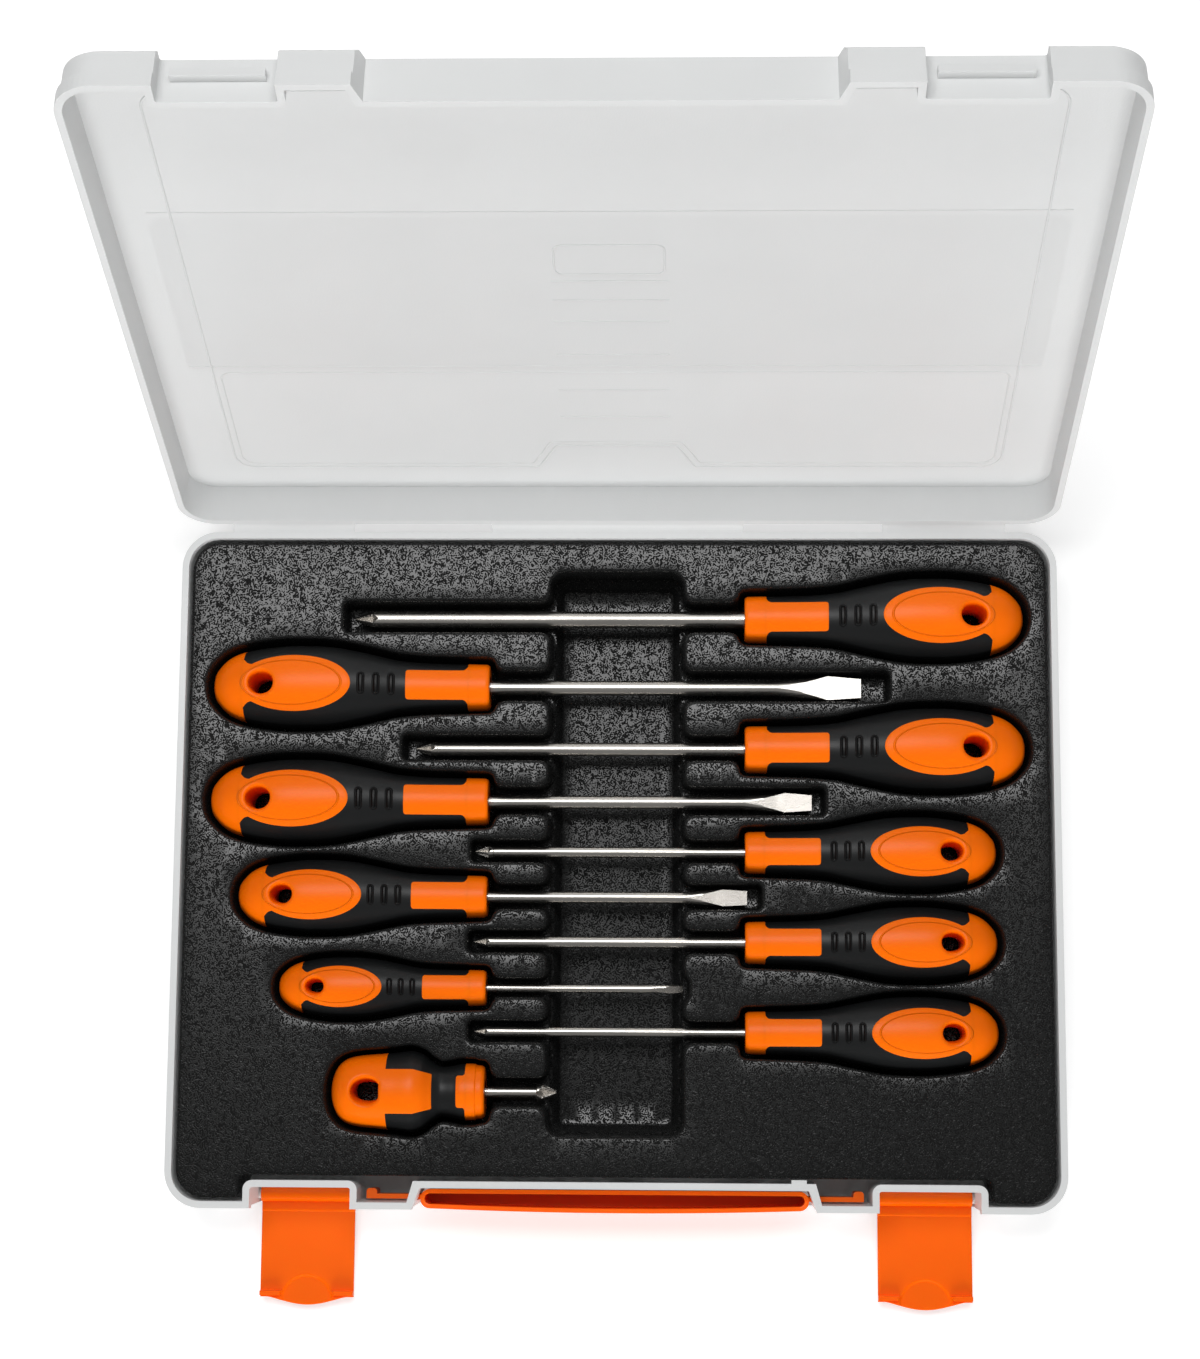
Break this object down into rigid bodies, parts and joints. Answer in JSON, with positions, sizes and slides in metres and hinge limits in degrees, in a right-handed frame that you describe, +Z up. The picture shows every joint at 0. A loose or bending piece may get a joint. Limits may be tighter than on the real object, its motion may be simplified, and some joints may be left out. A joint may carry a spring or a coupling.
{
  "type": "hard tool case",
  "caption": "Hard plastic tool case, open: frosted clear shell with a hinged lid, swing latches and a front grip; a formed black tray holds a set of screwdrivers.",
  "frame": {"origin": "middle of the base's flat underside", "axes": "+X to the right seen from the front, +Y from the latches towards the hinge, +Z up; lid open 109 degrees, latches open"},
  "size_m": [0.34, 0.3995, 0.2807],
  "materials": {
    "frosted_plastic": "frosted, translucent",
    "card": "satin",
    "orange_plastic": "glossy, slightly translucent",
    "orange_core": "satin",
    "soft_grip": "fine satin grain",
    "black_sheet": "leather grain",
    "bright_steel": "satin"
  },
  "bodies": {
    "base": {"base_shell": "frosted_plastic", "tray_insert": "black_sheet", "hinge_strip_left": "frosted_plastic", "hinge_strip_middle": "frosted_plastic", "hinge_strip_right": "frosted_plastic", "handle_strap_left": "orange_plastic", "handle_strap_right": "orange_plastic"},
    "lid": {"lid_shell": "frosted_plastic", "lid_card": "card"},
    "latch_left": {"latch_left": "orange_plastic"},
    "latch_right": {"latch_right": "orange_plastic"},
    "handle": {"handle_grip": "orange_plastic"},
    "screwdriver_1": {"screwdriver_1_blade": "bright_steel", "screwdriver_1_core": "orange_core", "screwdriver_1_grip": "soft_grip"},
    "screwdriver_2": {"screwdriver_2_blade": "bright_steel", "screwdriver_2_core": "orange_core", "screwdriver_2_grip": "soft_grip"},
    "screwdriver_3": {"screwdriver_3_blade": "bright_steel", "screwdriver_3_core": "orange_core", "screwdriver_3_grip": "soft_grip"},
    "screwdriver_4": {"screwdriver_4_blade": "bright_steel", "screwdriver_4_core": "orange_core", "screwdriver_4_grip": "soft_grip"},
    "screwdriver_5": {"screwdriver_5_blade": "bright_steel", "screwdriver_5_core": "orange_core", "screwdriver_5_grip": "soft_grip"},
    "screwdriver_6": {"screwdriver_6_blade": "bright_steel", "screwdriver_6_core": "orange_core", "screwdriver_6_grip": "soft_grip"},
    "screwdriver_7": {"screwdriver_7_blade": "bright_steel", "screwdriver_7_core": "orange_core", "screwdriver_7_grip": "soft_grip"},
    "screwdriver_8": {"screwdriver_8_blade": "bright_steel", "screwdriver_8_core": "orange_core", "screwdriver_8_grip": "soft_grip"},
    "screwdriver_9": {"screwdriver_9_blade": "bright_steel", "screwdriver_9_core": "orange_core", "screwdriver_9_grip": "soft_grip"},
    "screwdriver_10": {"screwdriver_10_blade": "bright_steel", "screwdriver_10_core": "orange_core", "screwdriver_10_grip": "soft_grip"}
  },
  "joints": [
    {"name": "lid_hinge", "type": "hinge", "parent": "base", "child": "lid", "pos_m": [0, 0.132, 0.033], "axis": [-1, 0, 0], "range_deg": [-109, 71], "deforming": ["hinge_strip_left", "hinge_strip_middle", "hinge_strip_right"]},
    {"name": "latch_left_swing", "type": "hinge", "parent": "base", "child": "latch_left", "pos_m": [-0.1185, -0.1251, 0.0075], "axis": [1, 0, 0], "range_deg": [-90, 0]},
    {"name": "latch_right_swing", "type": "hinge", "parent": "base", "child": "latch_right", "pos_m": [0.1185, -0.1251, 0.0075], "axis": [1, 0, 0], "range_deg": [-90, 0]},
    {"name": "handle_pull", "type": "slide", "parent": "base", "child": "handle", "axis": [0, -1, 0], "range_m": [0, 0.012], "deforming": ["handle_strap_left", "handle_strap_right"]},
    {"name": "screwdriver_1_lift", "type": "slide", "parent": "base", "child": "screwdriver_1", "axis": [0, 0, 1], "range_m": [0, 0.06]},
    {"name": "screwdriver_2_lift", "type": "slide", "parent": "base", "child": "screwdriver_2", "axis": [0, 0, 1], "range_m": [0, 0.06]},
    {"name": "screwdriver_3_lift", "type": "slide", "parent": "base", "child": "screwdriver_3", "axis": [0, 0, 1], "range_m": [0, 0.06]},
    {"name": "screwdriver_4_lift", "type": "slide", "parent": "base", "child": "screwdriver_4", "axis": [0, 0, 1], "range_m": [0, 0.06]},
    {"name": "screwdriver_5_lift", "type": "slide", "parent": "base", "child": "screwdriver_5", "axis": [0, 0, 1], "range_m": [0, 0.06]},
    {"name": "screwdriver_6_lift", "type": "slide", "parent": "base", "child": "screwdriver_6", "axis": [0, 0, 1], "range_m": [0, 0.06]},
    {"name": "screwdriver_7_lift", "type": "slide", "parent": "base", "child": "screwdriver_7", "axis": [0, 0, 1], "range_m": [0, 0.06]},
    {"name": "screwdriver_8_lift", "type": "slide", "parent": "base", "child": "screwdriver_8", "axis": [0, 0, 1], "range_m": [0, 0.06]},
    {"name": "screwdriver_9_lift", "type": "slide", "parent": "base", "child": "screwdriver_9", "axis": [0, 0, 1], "range_m": [0, 0.06]},
    {"name": "screwdriver_10_lift", "type": "slide", "parent": "base", "child": "screwdriver_10", "axis": [0, 0, 1], "range_m": [0, 0.06]}
  ]
}
